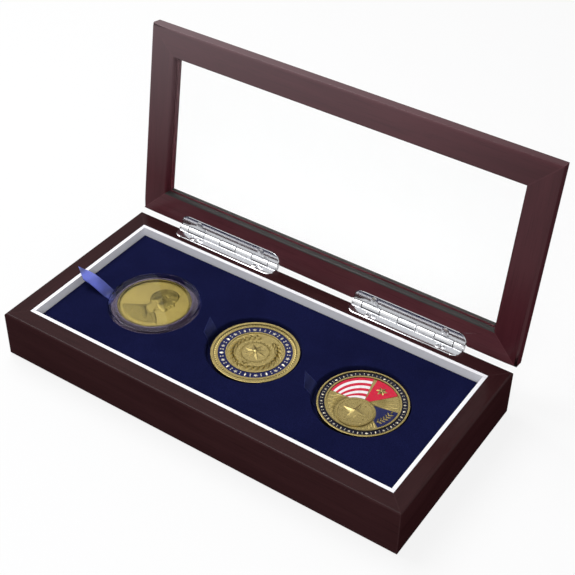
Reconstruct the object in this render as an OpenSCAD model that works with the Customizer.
// Glazed coin display case: a hinged wooden box with a velvet tray, one capsule and two coins.
// X runs left to right, Y front to back, Z up. The origin is on the table, below the middle of the base.
// The lid is drawn shut and then turned about the hinge pins to where it stands open.

/* [Base] */
// Width of the case, left to right
case_w = 230; // [212:1:300]
// Depth of the case, front to back
case_d = 108; // [84:1:150]
// Height of the base rails
rail_h = 26; // [22:0.5:40]
// Thickness of the base rails
rail_t = 9; // [8:0.5:14]
// Round along the outer top edges of the base
base_round = 1.2; // [0.4:0.1:2.5]
// Thickness of the bottom panel
panel_t = 3; // [2:0.5:5]
// Height of the panel above the lower edge of the rails
panel_up = 3; // [2:0.5:6]
// How deep the panel sits in the rails
panel_tongue = 3; // [1:0.5:5]
// Thickness of the felt under the base
felt_t = 0.8; // [0.5:0.1:2]
// How far the felt stays in from the outer faces
felt_inset = 2; // [0.5:0.5:6]

/* [Lining and tray] */
// Thickness of the white lining strips
liner_t = 2; // [1:0.1:3]
// How far the lining strips stay below the top of the rails
liner_drop = 0.2; // [0:0.1:2]
// Depth of the velvet below the top of the rails
velvet_drop = 4.6; // [3.5:0.1:8]
// Thickness of the velvet
velvet_t = 0.8; // [0.5:0.1:1.5]
// Depth of the wells in the velvet
well_depth = 4.4; // [3:0.1:7]
// Diameter of the wells
well_d = 48; // [47.6:0.1:54]
// Round where the velvet turns down into a well
well_round = 0.8; // [0.3:0.1:1.2]
// Distance from one well to the next
well_pitch = 62.5; // [56:0.5:66]

/* [Coins and capsule] */
// Diameter of the two bare coins
coin_d = 44.45; // [38:0.05:45.5]
// Thickness of the two bare coins
coin_t = 3.2; // [2.4:0.1:5]
// How far the bare coins lie to the right in their wells
coin_shift = 1; // [0:0.1:1.5]
// Width of the rim of the right coin
right_rim_w = 0.9; // [0.5:0.1:1.2]
// Depth of the faces below the coins' rims, and of the enamel in the faces
face_drop = 0.5; // [0.2:0.05:0.7]
// Diameter of the medal in the capsule
medal_d = 38.1; // [30:0.1:40]
// Thickness of the medal
medal_t = 3; // [2.4:0.1:4]
// Depth of the medal's face below its rim, which leaves room for a high relief
medal_drop = 0.8; // [0.3:0.05:1]
// Outer diameter of the capsule
capsule_d = 47; // [44.5:0.1:47.4]
// Wall of the capsule's two halves
capsule_wall = 1; // [0.8:0.1:1.2]

/* [Ribbons] */
// Width of the lifting ribbons
ribbon_w = 7; // [4:0.5:10]
// Thickness of the ribbons
ribbon_t = 0.3; // [0.2:0.05:0.35]
// Rise of the left ribbon's arch between its two ends
arch_h = 2.4; // [1:0.1:3]
// How far the left ribbon lies on the rail
left_ribbon_rest = 4; // [2:0.5:7]
// Sideways place of the left ribbon beside the middle of its well
left_ribbon_y = -7.7; // [-12:0.1:0]
// How far the other two ribbons reach past the edge of their wells
ribbon_reach = 7; // [4:0.5:9]
// Sideways place of the other two ribbons beside the middle of their wells
ribbon_y = -15; // [-16:0.5:0]
// Turn of the middle ribbon
middle_ribbon_turn = -33; // [-45:1:0]
// Turn of the right ribbon
right_ribbon_turn = -23; // [-45:1:0]
// Slant of the ribbons' cut ends
ribbon_cut = 54; // [0:1:60]

/* [Lid] */
// Thickness of the lid
lid_t = 8; // [7:0.5:14]
// Width of the lid's frame
frame_w = 15; // [12:0.5:22]
// Round along the outer edges of the lid's outer face
lid_round = 2; // [0.5:0.1:3]
// Round along the window edge of the lid's inner face
window_round = 1.2; // [0.4:0.1:1.6]
// Thickness of the glass
glass_t = 2; // [1.5:0.1:2.5]
// Depth of the groove that holds the glass
glass_tongue = 3; // [1.5:0.5:5]
// Gap between the shut lid and the base
lid_gap = 1; // [0.7:0.1:1.6]
// Angle at which the lid stands open
open_angle = 99; // [90:1:110]

/* [Hinges] */
// Length of a hinge
hinge_len = 64.5; // [50:0.5:66]
// Distance of each hinge's outer end from the side of the case
hinge_inset = 27.2; // [20:0.1:36]
// Width of a leaf, from the pin's axis to its free edge
leaf_w = 7.5; // [7:0.1:8.2]
// Thickness of a leaf
leaf_t = 0.9; // [0.8:0.05:1.1]
// Radius of a leaf's free corners
leaf_corner = 4.5; // [1:0.5:5]
// Bevel along a leaf's free edges
leaf_bevel = 0.4; // [0.1:0.05:0.6]
// Radius of the barrel
barrel_r = 1.7; // [1.5:0.05:1.8]
// Round at the ends of the knuckles
knuckle_round = 0.3; // [0.1:0.05:0.4]
// Radius of the pin
pin_r = 0.8; // [0.5:0.05:0.9]
// Distance of the pin's axis behind the back of the base
axis_back = 1; // [0.8:0.1:1.3]
// Length of the two end knuckles, as a share of the others
end_share = 0.56; // [0.4:0.01:1]
// Distance of the screws from the middle of a hinge
screw_x = 20.3; // [16:0.1:23]
// Radius of a screw's shank
screw_r = 0.7; // [0.5:0.05:0.9]
// Radius of a screw's head
screw_head_r = 2; // [1.5:0.05:2.1]
// Rise of a screw's rounded head above the leaf
screw_dome = 0.25; // [0.1:0.05:0.3]
// Length of a screw, head and all
screw_len = 5.5; // [4:0.5:6]

/* [Hidden] */
// Play between a piece and what holds it
fit = 0.1;
// Play between the pin and the knuckles, on the radius
run_gap = 0.05;
// Play between two knuckles, and between a barrel and the wood or leaf it turns in
knuckle_gap = 0.3;
// Play between the two leaves when the lid is shut, which leaves room for the screw heads
leaf_gap = 0.8;
// Radial size, thickness and overlap of the hinge's stop lugs
lug_h = 1.2;
lug_t = 1;
lug_reach = 1.6;
// Depth of the countersink, and of the driver's cross in a screw head
sink_h = 0.8;
cross_h = 0.5;
cross_w = 0.5;
// Overrun of a cutting body past the face that it cuts
over = 1;

knuckles = 7;
hinge_x = case_w / 2 - hinge_inset - hinge_len / 2;
coin_face_r = coin_d / 2 - 1.5;
// Rings on the two bare coins: radii of the enamel ring and of the frame inside it
middle_enamel = [14.8, 18.6];
right_enamel_in = 18.4;
right_frame_w = 0.8;
// Roundel that stands out from the right coin's face: radius and place
roundel_r = 9.4;
roundel_y = -7.4;

rail_z = felt_t;
rail_top = rail_z + rail_h;
panel_z = rail_z + panel_up;
floor_z = panel_z + panel_t;
inner_w = case_w - 2 * rail_t;
inner_d = case_d - 2 * rail_t;
tray_w = inner_w - 2 * liner_t - 2 * fit;
tray_d = inner_d - 2 * liner_t - 2 * fit;
velvet_z = rail_top - velvet_drop;
well_z = velvet_z - well_depth;
well_r = well_d / 2;
seat_z = well_z + ribbon_t;
wells = [-well_pitch, 0, well_pitch];

capsule_r = capsule_d / 2;
capsule_h = medal_t + 2 * capsule_wall + fit;

axis_y = case_d / 2 + axis_back;
axis_z = rail_top + lid_gap / 2;
leaf_low = leaf_t + leaf_gap / 2;
screw_y = leaf_w - 2.8;
glass_z = (lid_t - glass_t) / 2;
knuckle_l = hinge_len / (knuckles - 2 + 2 * end_share);

// What a round of radius r takes off a square corner at the origin, whose material is at +X and +Y
module corner_waste(r) {
    difference() {
        translate([-over, -over])
            square(r + over);
        translate([r, r])
            circle(r, $fn = 64);
    }
}

// A rail that runs along X with mitred ends: the children are its section, from the outer face at 0 inwards
module mitred_rail(length, t, h) {
    intersection() {
        rotate([90, 0, 90])
            translate([0, 0, -length / 2])
                linear_extrude(length)
                    children();
        translate([0, 0, -over])
            linear_extrude(h + 2 * over)
                polygon([[-length / 2, 0], [length / 2, 0], [length / 2 - t, t], [-length / 2 + t, t]]);
    }
}

// Places a rail, drawn along the front, on one side of the case
module at_side(side) {
    if (side == "front")
        translate([0, -case_d / 2, 0])
            children();
    if (side == "back")
        mirror([0, 1, 0])
            translate([0, -case_d / 2, 0])
                children();
    if (side == "left")
        rotate(-90)
            translate([0, -case_w / 2, 0])
                children();
    if (side == "right")
        rotate(90)
            translate([0, -case_w / 2, 0])
                children();
}

function side_length(side) = side == "front" || side == "back" ? case_w : case_d;

module base_section() {
    difference() {
        square([rail_t, rail_h]);
        translate([0, rail_h])
            mirror([0, 1])
                corner_waste(base_round);
        translate([rail_t - panel_tongue, panel_up])
            square([panel_tongue + over, panel_t + fit]);
    }
}

module base_rail(side) {
    color("#3a2020")
        difference() {
            translate([0, 0, rail_z])
                at_side(side)
                    mitred_rail(side_length(side), rail_t, rail_h)
                        base_section();
            if (side == "back")
                for (x = [-hinge_x, hinge_x])
                    translate([x, axis_y, axis_z])
                        hinge_room();
        }
}

// Section of the lid's frame: the inner face, which lies on the base when shut, is at 0
module lid_section() {
    difference() {
        square([frame_w, lid_t]);
        translate([0, lid_t])
            mirror([0, 1])
                corner_waste(lid_round);
        translate([frame_w, 0])
            mirror([1, 0])
                corner_waste(window_round);
        translate([frame_w, lid_t])
            rotate(180)
                corner_waste(window_round / 2);
        translate([frame_w - glass_tongue, glass_z])
            square([glass_tongue + over, glass_t + fit]);
    }
}

// Turns what is drawn on the shut lid to where the lid stands open
module lid_open() {
    translate([0, axis_y, axis_z])
        rotate([-open_angle, 0, 0])
            translate([0, -axis_y, -axis_z])
                children();
}

module lid_rail(side) {
    color("#5a2d36")
        lid_open()
            difference() {
                translate([0, 0, rail_top + lid_gap])
                    at_side(side)
                        mitred_rail(side_length(side), frame_w, lid_t)
                            lid_section();
                if (side == "back")
                    for (x = [-hinge_x, hinge_x])
                        translate([x, axis_y, axis_z])
                            mirror([0, 0, 1])
                                hinge_room();
            }
}

module glass_pane() {
    margin = frame_w - glass_tongue + fit;
    color("#dfeef0", 0.3)
        lid_open()
            translate([0, 0, rail_top + lid_gap + glass_z])
                translate([-case_w / 2 + margin, -case_d / 2 + margin, 0])
                    cube([case_w - 2 * margin, case_d - 2 * margin, glass_t]);
}

module bottom_panel() {
    w = inner_w + 2 * panel_tongue - 2 * fit;
    d = inner_d + 2 * panel_tongue - 2 * fit;
    color("#8a6a48")
        translate([-w / 2, -d / 2, panel_z])
            cube([w, d, panel_t]);
}

module felt_base() {
    w = case_w - 2 * felt_inset;
    d = case_d - 2 * felt_inset;
    color("#15151a")
        linear_extrude(felt_t)
            difference() {
                translate([-w / 2, -d / 2])
                    square([w, d]);
                for (x = [-1, 1], y = [-1, 1])
                    scale([x, y])
                        translate([-w / 2, -d / 2])
                            corner_waste(2);
            }
}

// A white card strip against the inside of one rail: the long ones run the whole length
module liner(side) {
    long = side == "front" || side == "back";
    length = long ? inner_w - 2 * fit : inner_d - 2 * liner_t - 4 * fit;
    from_outside = rail_t + fit;
    color("#f4f4f6")
        translate([0, 0, floor_z])
            at_side(side)
                translate([-length / 2, from_outside, 0])
                    cube([length, liner_t - fit, rail_top - liner_drop - floor_z]);
}

// Stiff block that fills the base up to the floor of the wells
module tray_block() {
    color("#c9b79a")
        translate([-tray_w / 2, -tray_d / 2, floor_z])
            cube([tray_w, tray_d, well_z - velvet_t - floor_z]);
}

// Foam sheet with the three wells cut right through
module foam_insert() {
    color("#2a2a32")
        translate([0, 0, well_z - velvet_t])
            linear_extrude(well_depth)
                difference() {
                    translate([-tray_w / 2, -tray_d / 2])
                        square([tray_w, tray_d]);
                    for (x = wells)
                        translate([x, 0])
                            circle(well_r + velvet_t, $fn = 96);
                }
}

// Velvet over the foam and down into each well as a cup
module velvet_cover() {
    color("#171a38")
        difference() {
            union() {
                translate([-tray_w / 2, -tray_d / 2, velvet_z - velvet_t])
                    cube([tray_w, tray_d, velvet_t]);
                for (x = wells)
                    translate([x, 0, well_z - velvet_t])
                        cylinder(r = well_r + velvet_t, h = well_depth, $fn = 96);
            }
            for (x = wells)
                translate([x, 0, well_z])
                    rotate_extrude($fn = 96)
                        difference() {
                            square([well_r + well_round, well_depth + over]);
                            difference() {
                                translate([well_r, 0])
                                    square([well_round + over, well_depth]);
                                translate([well_r, well_depth])
                                    mirror([0, 1])
                                        corner_waste(well_round);
                            }
                        }
        }
}

// Height of a ribbon's underside at the distance s from the middle of its well
function ribbon_rise(s, s0, s1, z0, z1, arch) =
    s < s0 ? z0 : s > s1 ? z1 : z0 + (z1 - z0) * (s - s0) / (s1 - s0) + arch * sin(180 * (s - s0) / (s1 - s0));

// Satin ribbon: under the coin, up the wall of the well, and out towards -X.
// It lies at y0 beside the middle of the well, turned by angle, and ends s_end from that middle.
module ribbon(x, y0, angle, s_end, z_end, arch) {
    steps = 26;
    s_in = well_r / 4;
    s0 = well_r - well_round - ribbon_t;
    s1 = s_end - ribbon_w;
    lift = velvet_z + fit;
    path = [for (i = [0:steps]) let (s = s_in + (s_end - s_in) * i / steps)
        [-s, ribbon_rise(s, s0, s1, lift, z_end, arch)]];
    strip = concat(path, [for (i = [steps:-1:0]) path[i] + [0, ribbon_t]]);
    wall_r = well_r - fit;
    color("#3d4590")
        translate([x, 0, 0])
            rotate(angle) {
                difference() {
                    translate([0, y0 + ribbon_w / 2, 0])
                        rotate([90, 0, 0])
                            linear_extrude(ribbon_w)
                                polygon(strip);
                    translate([0, 0, well_z])
                        cylinder(r = wall_r - ribbon_t, h = rail_h, $fn = 96);
                    translate([-s_end, y0 + ribbon_w / 2, 0])
                        rotate(ribbon_cut)
                            translate([-3 * ribbon_w, -3 * ribbon_w, 0])
                                cube([3 * ribbon_w, 4 * ribbon_w, 2 * rail_top]);
                }
                intersection() {
                    translate([-well_r, y0 - ribbon_w / 2, well_z])
                        cube([well_r - s_in, ribbon_w, lift + ribbon_t - well_z]);
                    union() {
                        translate([0, 0, well_z])
                            cylinder(r = wall_r, h = ribbon_t, $fn = 96);
                        difference() {
                            translate([0, 0, well_z])
                                cylinder(r = wall_r, h = rail_h, $fn = 96);
                            translate([0, 0, well_z - over])
                                cylinder(r = wall_r - ribbon_t, h = rail_h + 2 * over, $fn = 96);
                        }
                    }
                }
            }
}

module ribbon_left() {
    s_end = case_w / 2 - rail_t - well_pitch + left_ribbon_rest;
    ribbon(wells[0], left_ribbon_y, 0, s_end, rail_top + fit, arch_h);
}

module ribbon_short(x, turn) {
    ribbon(x, ribbon_y, turn, well_r + ribbon_reach, velvet_z + fit, ribbon_t);
}

// Lower half of the capsule: a disc with the ring that centres the medal
module capsule_base() {
    ring_in = medal_d / 2 + fit;
    ring_h = medal_t + fit / 2;
    disc_r = capsule_r - capsule_wall - fit;
    color("#e8ecf4", 0.35)
        translate([-well_pitch, 0, seat_z])
            rotate_extrude($fn = 96) {
                square([disc_r, capsule_wall]);
                translate([ring_in, 0])
                    square([capsule_wall, capsule_wall + ring_h]);
            }
}

// Upper half of the capsule: its skirt slides over the lower half
module capsule_lid() {
    color("#e8ecf4", 0.35)
        translate([-well_pitch, 0, seat_z])
            rotate_extrude($fn = 96)
                difference() {
                    square([capsule_r, capsule_h]);
                    translate([-over, -over])
                        square([over + capsule_r - capsule_wall, over + capsule_h - capsule_wall]);
                    translate([-over, 0])
                        square([over, capsule_h]);
                    translate([capsule_r, capsule_h])
                        rotate(180)
                            corner_waste(capsule_wall * 0.6);
                }
}

// A struck disc: rim, sunk face and rounded edges
module struck_disc(r, t, rim_w, drop) {
    edge = 0.18;
    rotate_extrude($fn = 128)
        difference() {
            square([r, t]);
            translate([r, 0])
                mirror([1, 0])
                    corner_waste(edge);
            translate([r, t])
                rotate(180)
                    corner_waste(edge);
            translate([-over, t - drop])
                square([r - rim_w + over, drop + over]);
            translate([-over, 0])
                square([over, t]);
        }
}

// A ring standing from z, between two radii
module ring(r_in, r_out, z, h) {
    translate([0, 0, z])
        linear_extrude(h)
            difference() {
                circle(r_out, $fn = 96);
                circle(r_in, $fn = 96);
            }
}

module medal() {
    color("#9a8f4a")
        translate([-well_pitch, 0, seat_z + capsule_wall])
            struck_disc(medal_d / 2, medal_t, 0.9, medal_drop);
}

module coin_middle() {
    face = coin_t - face_drop;
    color("#9c8d4c")
        translate([coin_shift, 0, seat_z])
            difference() {
                union() {
                    struck_disc(coin_d / 2, coin_t, coin_d / 2 - coin_face_r, face_drop);
                    ring(middle_enamel[1], middle_enamel[1] + 1.3, face, face_drop / 2);
                    ring(middle_enamel[0] - 0.7, middle_enamel[0], face, face_drop / 2);
                }
                ring(middle_enamel[0], middle_enamel[1], face - face_drop, 2 * face_drop);
            }
}

module coin_middle_enamel() {
    color("#20264f")
        translate([coin_shift, 0, seat_z])
            ring(middle_enamel[0], middle_enamel[1], coin_t - 2 * face_drop, face_drop);
}

module coin_right() {
    rim_in = coin_d / 2 - right_rim_w;
    face = coin_t - face_drop;
    color("#9c8d4c")
        translate([well_pitch + coin_shift, 0, seat_z])
            difference() {
                union() {
                    struck_disc(coin_d / 2, coin_t, right_rim_w, face_drop);
                    ring(right_enamel_in - right_frame_w, right_enamel_in, face, face_drop);
                    intersection() {
                        translate([0, roundel_y, face])
                            cylinder(r = roundel_r, h = face_drop, $fn = 96);
                        cylinder(r = right_enamel_in, h = coin_t, $fn = 96);
                    }
                }
                ring(right_enamel_in, rim_in, face - face_drop, 2 * face_drop);
            }
}

module coin_right_enamel() {
    color("#17192e")
        translate([well_pitch + coin_shift, 0, seat_z])
            ring(right_enamel_in, coin_d / 2 - right_rim_w, coin_t - 2 * face_drop, face_drop);
}

// Start and end of knuckle k along the pin, counted from 0 at the left
function knuckle_start(k) = -hinge_len / 2 + (k == 0 ? 0 : knuckle_l * (end_share + k - 1));
function knuckle_end(k) = k == knuckles - 1 ? hinge_len / 2 : knuckle_start(k + 1);
// The base leaf carries the even knuckles and the lid leaf the odd ones
function on_base(k) = k % 2 == 0;

// Outline of a leaf, grown by grow: its free corners are round
module leaf_outline(grow) {
    difference() {
        translate([-hinge_len / 2 - grow, -leaf_w - grow])
            square([hinge_len + 2 * grow, leaf_w + grow]);
        for (side = [-1, 1])
            scale([side, 1])
                translate([-hinge_len / 2 - grow, -leaf_w - grow])
                    corner_waste(leaf_corner + grow);
    }
}

// What a bevel takes off the long free edge, the ends and the round corners of a leaf, its top at z = 0
module leaf_edge_waste() {
    long = hinge_len / 2 - leaf_corner;
    short = leaf_w - leaf_corner;
    section = [[0, -leaf_bevel], [leaf_bevel, 0], [leaf_bevel, over], [-over, over], [-over, -leaf_bevel]];
    translate([-long, -leaf_w, 0])
        rotate([90, 0, 90])
            linear_extrude(2 * long)
                polygon(section);
    for (side = [0, 1])
        mirror([side, 0, 0]) {
            translate([-hinge_len / 2, 0, 0])
                rotate([90, 0, 0])
                    linear_extrude(short)
                        polygon(section);
            translate([-long, -short, 0])
                intersection() {
                    rotate_extrude($fn = 64)
                        translate([leaf_corner, 0])
                            mirror([1, 0])
                                polygon(section);
                    translate([-2 * leaf_w, -2 * leaf_w, -leaf_w])
                        cube(2 * leaf_w);
                }
        }
}

// One knuckle, along X from the origin, with rounded ends
module knuckle(length) {
    rotate([0, 90, 0])
        rotate_extrude($fn = 48)
            difference() {
                square([barrel_r, length]);
                translate([barrel_r, 0])
                    mirror([1, 0])
                        corner_waste(knuckle_round);
                translate([barrel_r, length])
                    rotate(180)
                        corner_waste(knuckle_round);
            }
}

// A bar that points away from the pin at an angle from +Y, between two radii
module lug(x, length, angle, r_in) {
    rotate([angle, 0, 0])
        translate([x, r_in, -lug_t / 2])
            cube([length, barrel_r + lug_h - r_in, lug_t]);
}

// One leaf below the pin's axis, which is the X axis, reaching to -Y, as it lies when the lid is shut
module leaf(is_base) {
    lug_angle = -80;
    lug_step = 2 * asin(lug_t / 2 / (barrel_r + knuckle_gap)) + 2;
    difference() {
        union() {
            difference() {
                translate([0, 0, -leaf_low])
                    linear_extrude(leaf_t)
                        leaf_outline(0);
                translate([0, 0, leaf_t - leaf_low])
                    leaf_edge_waste();
                for (k = [0:knuckles - 1])
                    if (on_base(k) != is_base)
                        translate([knuckle_start(k) - knuckle_gap / 2, -barrel_r - knuckle_gap, -leaf_low - over])
                            cube([knuckle_end(k) - knuckle_start(k) + knuckle_gap, 2 * leaf_w, leaf_low + 2 * over]);
            }
            for (k = [0:knuckles - 1])
                if (on_base(k) == is_base)
                    translate([knuckle_start(k) + knuckle_gap / 2, 0, 0])
                        knuckle(knuckle_end(k) - knuckle_start(k) - knuckle_gap);
            for (side = [0, 1])
                mirror([side, 0, 0])
                    if (is_base) {
                        lug(knuckle_start(0) + knuckle_gap, knuckle_end(0) - knuckle_start(0) - 2 * knuckle_gap,
                            lug_angle, barrel_r - lug_t / 3);
                        lug(knuckle_end(0) - lug_reach, 2 * lug_reach, lug_angle, barrel_r + knuckle_gap);
                    } else {
                        lug(knuckle_start(1) + knuckle_gap, lug_reach - knuckle_gap,
                            -(lug_angle + lug_step + open_angle), barrel_r - lug_t / 3);
                    }
        }
        translate([-hinge_len, 0, 0])
            rotate([0, 90, 0])
                cylinder(r = pin_r + run_gap, h = 2 * hinge_len, $fn = 48);
        for (x = [-screw_x, screw_x])
            translate([x, -screw_y, -leaf_low])
                rotate_extrude($fn = 48)
                    polygon([[0, -over], [screw_r + fit, -over], [screw_r + fit, leaf_t - sink_h],
                        [screw_head_r + fit, leaf_t], [screw_head_r + fit, leaf_t + over], [0, leaf_t + over]]);
    }
}

// What a hinge needs taken out of the rail below it: the leaf's bed, room for the barrel and the screw holes
module hinge_room() {
    translate([0, 0, -leaf_low])
        linear_extrude(leaf_low)
            leaf_outline(fit);
    translate([-hinge_len / 2 - 2 * fit, 0, 0])
        rotate([0, 90, 0])
            cylinder(r = barrel_r + knuckle_gap, h = hinge_len + 4 * fit, $fn = 48);
    for (x = [-screw_x, screw_x])
        translate([x, -screw_y, -leaf_low + leaf_t - screw_len - fit])
            cylinder(r = screw_r + fit / 2, h = screw_len, $fn = 32);
}

// Pin with rounded ends, in the same place as the knuckles
module pin() {
    translate([-hinge_len / 2, 0, 0])
        rotate([0, 90, 0])
            rotate_extrude($fn = 48)
                difference() {
                    square([pin_r, hinge_len]);
                    translate([pin_r, 0])
                        mirror([1, 0])
                            corner_waste(pin_r / 2);
                    translate([pin_r, hinge_len])
                        rotate(180)
                            corner_waste(pin_r / 2);
                    translate([-over, 0])
                        square([over, hinge_len]);
                }
}

// Oval wood screw: countersunk to z = 0, domed above, with a cross for the driver
module screw() {
    dome_r = (screw_head_r ^ 2 + screw_dome ^ 2) / (2 * screw_dome);
    difference() {
        rotate_extrude($fn = 48) {
            polygon([[0, -screw_len], [screw_r * 0.3, -screw_len + 0.3], [screw_r, -screw_len + 1.5],
                [screw_r, -sink_h], [screw_head_r, 0], [0, 0]]);
            intersection() {
                square([screw_head_r, screw_dome]);
                translate([0, screw_dome - dome_r])
                    circle(dome_r, $fn = 96);
            }
        }
        for (turn = [45, 135])
            rotate(turn)
                translate([-screw_head_r * 0.6, -cross_w / 2, screw_dome - cross_h])
                    cube([screw_head_r * 1.2, cross_w, cross_h + over]);
    }
}

module screws() {
    for (x = [-screw_x, screw_x])
        translate([x, -screw_y, -leaf_gap / 2])
            screw();
}

// Places what is drawn about a pin at one of the hinges, on the base or on the open lid
module at_base_hinge(x) {
    translate([x, axis_y, axis_z])
        children();
}

module at_lid_hinge(x) {
    lid_open()
        translate([x, axis_y, axis_z])
            mirror([0, 0, 1])
                children();
}

module hinge_base_leaf(x) {
    color("#d8d8dc")
        at_base_hinge(x)
            leaf(true);
}

module hinge_lid_leaf(x) {
    color("#d8d8dc")
        at_lid_hinge(x)
            leaf(false);
}

module hinge_pin(x) {
    color("#b8b8be")
        at_base_hinge(x)
            pin();
}

module base_screws(x) {
    color("#c8c8cc")
        at_base_hinge(x)
            screws();
}

module lid_screws(x) {
    color("#c8c8cc")
        at_lid_hinge(x)
            screws();
}

base_rail("front");  // base_rail_front
base_rail("back");  // base_rail_back
base_rail("left");  // base_rail_left
base_rail("right");  // base_rail_right
bottom_panel();
felt_base();
liner("front");  // liner_front
liner("back");  // liner_back
liner("left");  // liner_left
liner("right");  // liner_right
tray_block();
foam_insert();
velvet_cover();
ribbon_left();
ribbon_short(wells[1], middle_ribbon_turn);  // ribbon_middle
ribbon_short(wells[2], right_ribbon_turn);  // ribbon_right
capsule_base();
capsule_lid();
medal();
coin_middle();
coin_middle_enamel();
coin_right();
coin_right_enamel();
lid_rail("front");  // lid_rail_front
lid_rail("back");  // lid_rail_back
lid_rail("left");  // lid_rail_left
lid_rail("right");  // lid_rail_right
glass_pane();
hinge_base_leaf(-hinge_x);  // hinge_left_base_leaf
hinge_lid_leaf(-hinge_x);  // hinge_left_lid_leaf
hinge_pin(-hinge_x);  // hinge_left_pin
hinge_base_leaf(hinge_x);  // hinge_right_base_leaf
hinge_lid_leaf(hinge_x);  // hinge_right_lid_leaf
hinge_pin(hinge_x);  // hinge_right_pin
base_screws(-hinge_x);  // screws_left_base
lid_screws(-hinge_x);  // screws_left_lid
base_screws(hinge_x);  // screws_right_base
lid_screws(hinge_x);  // screws_right_lid
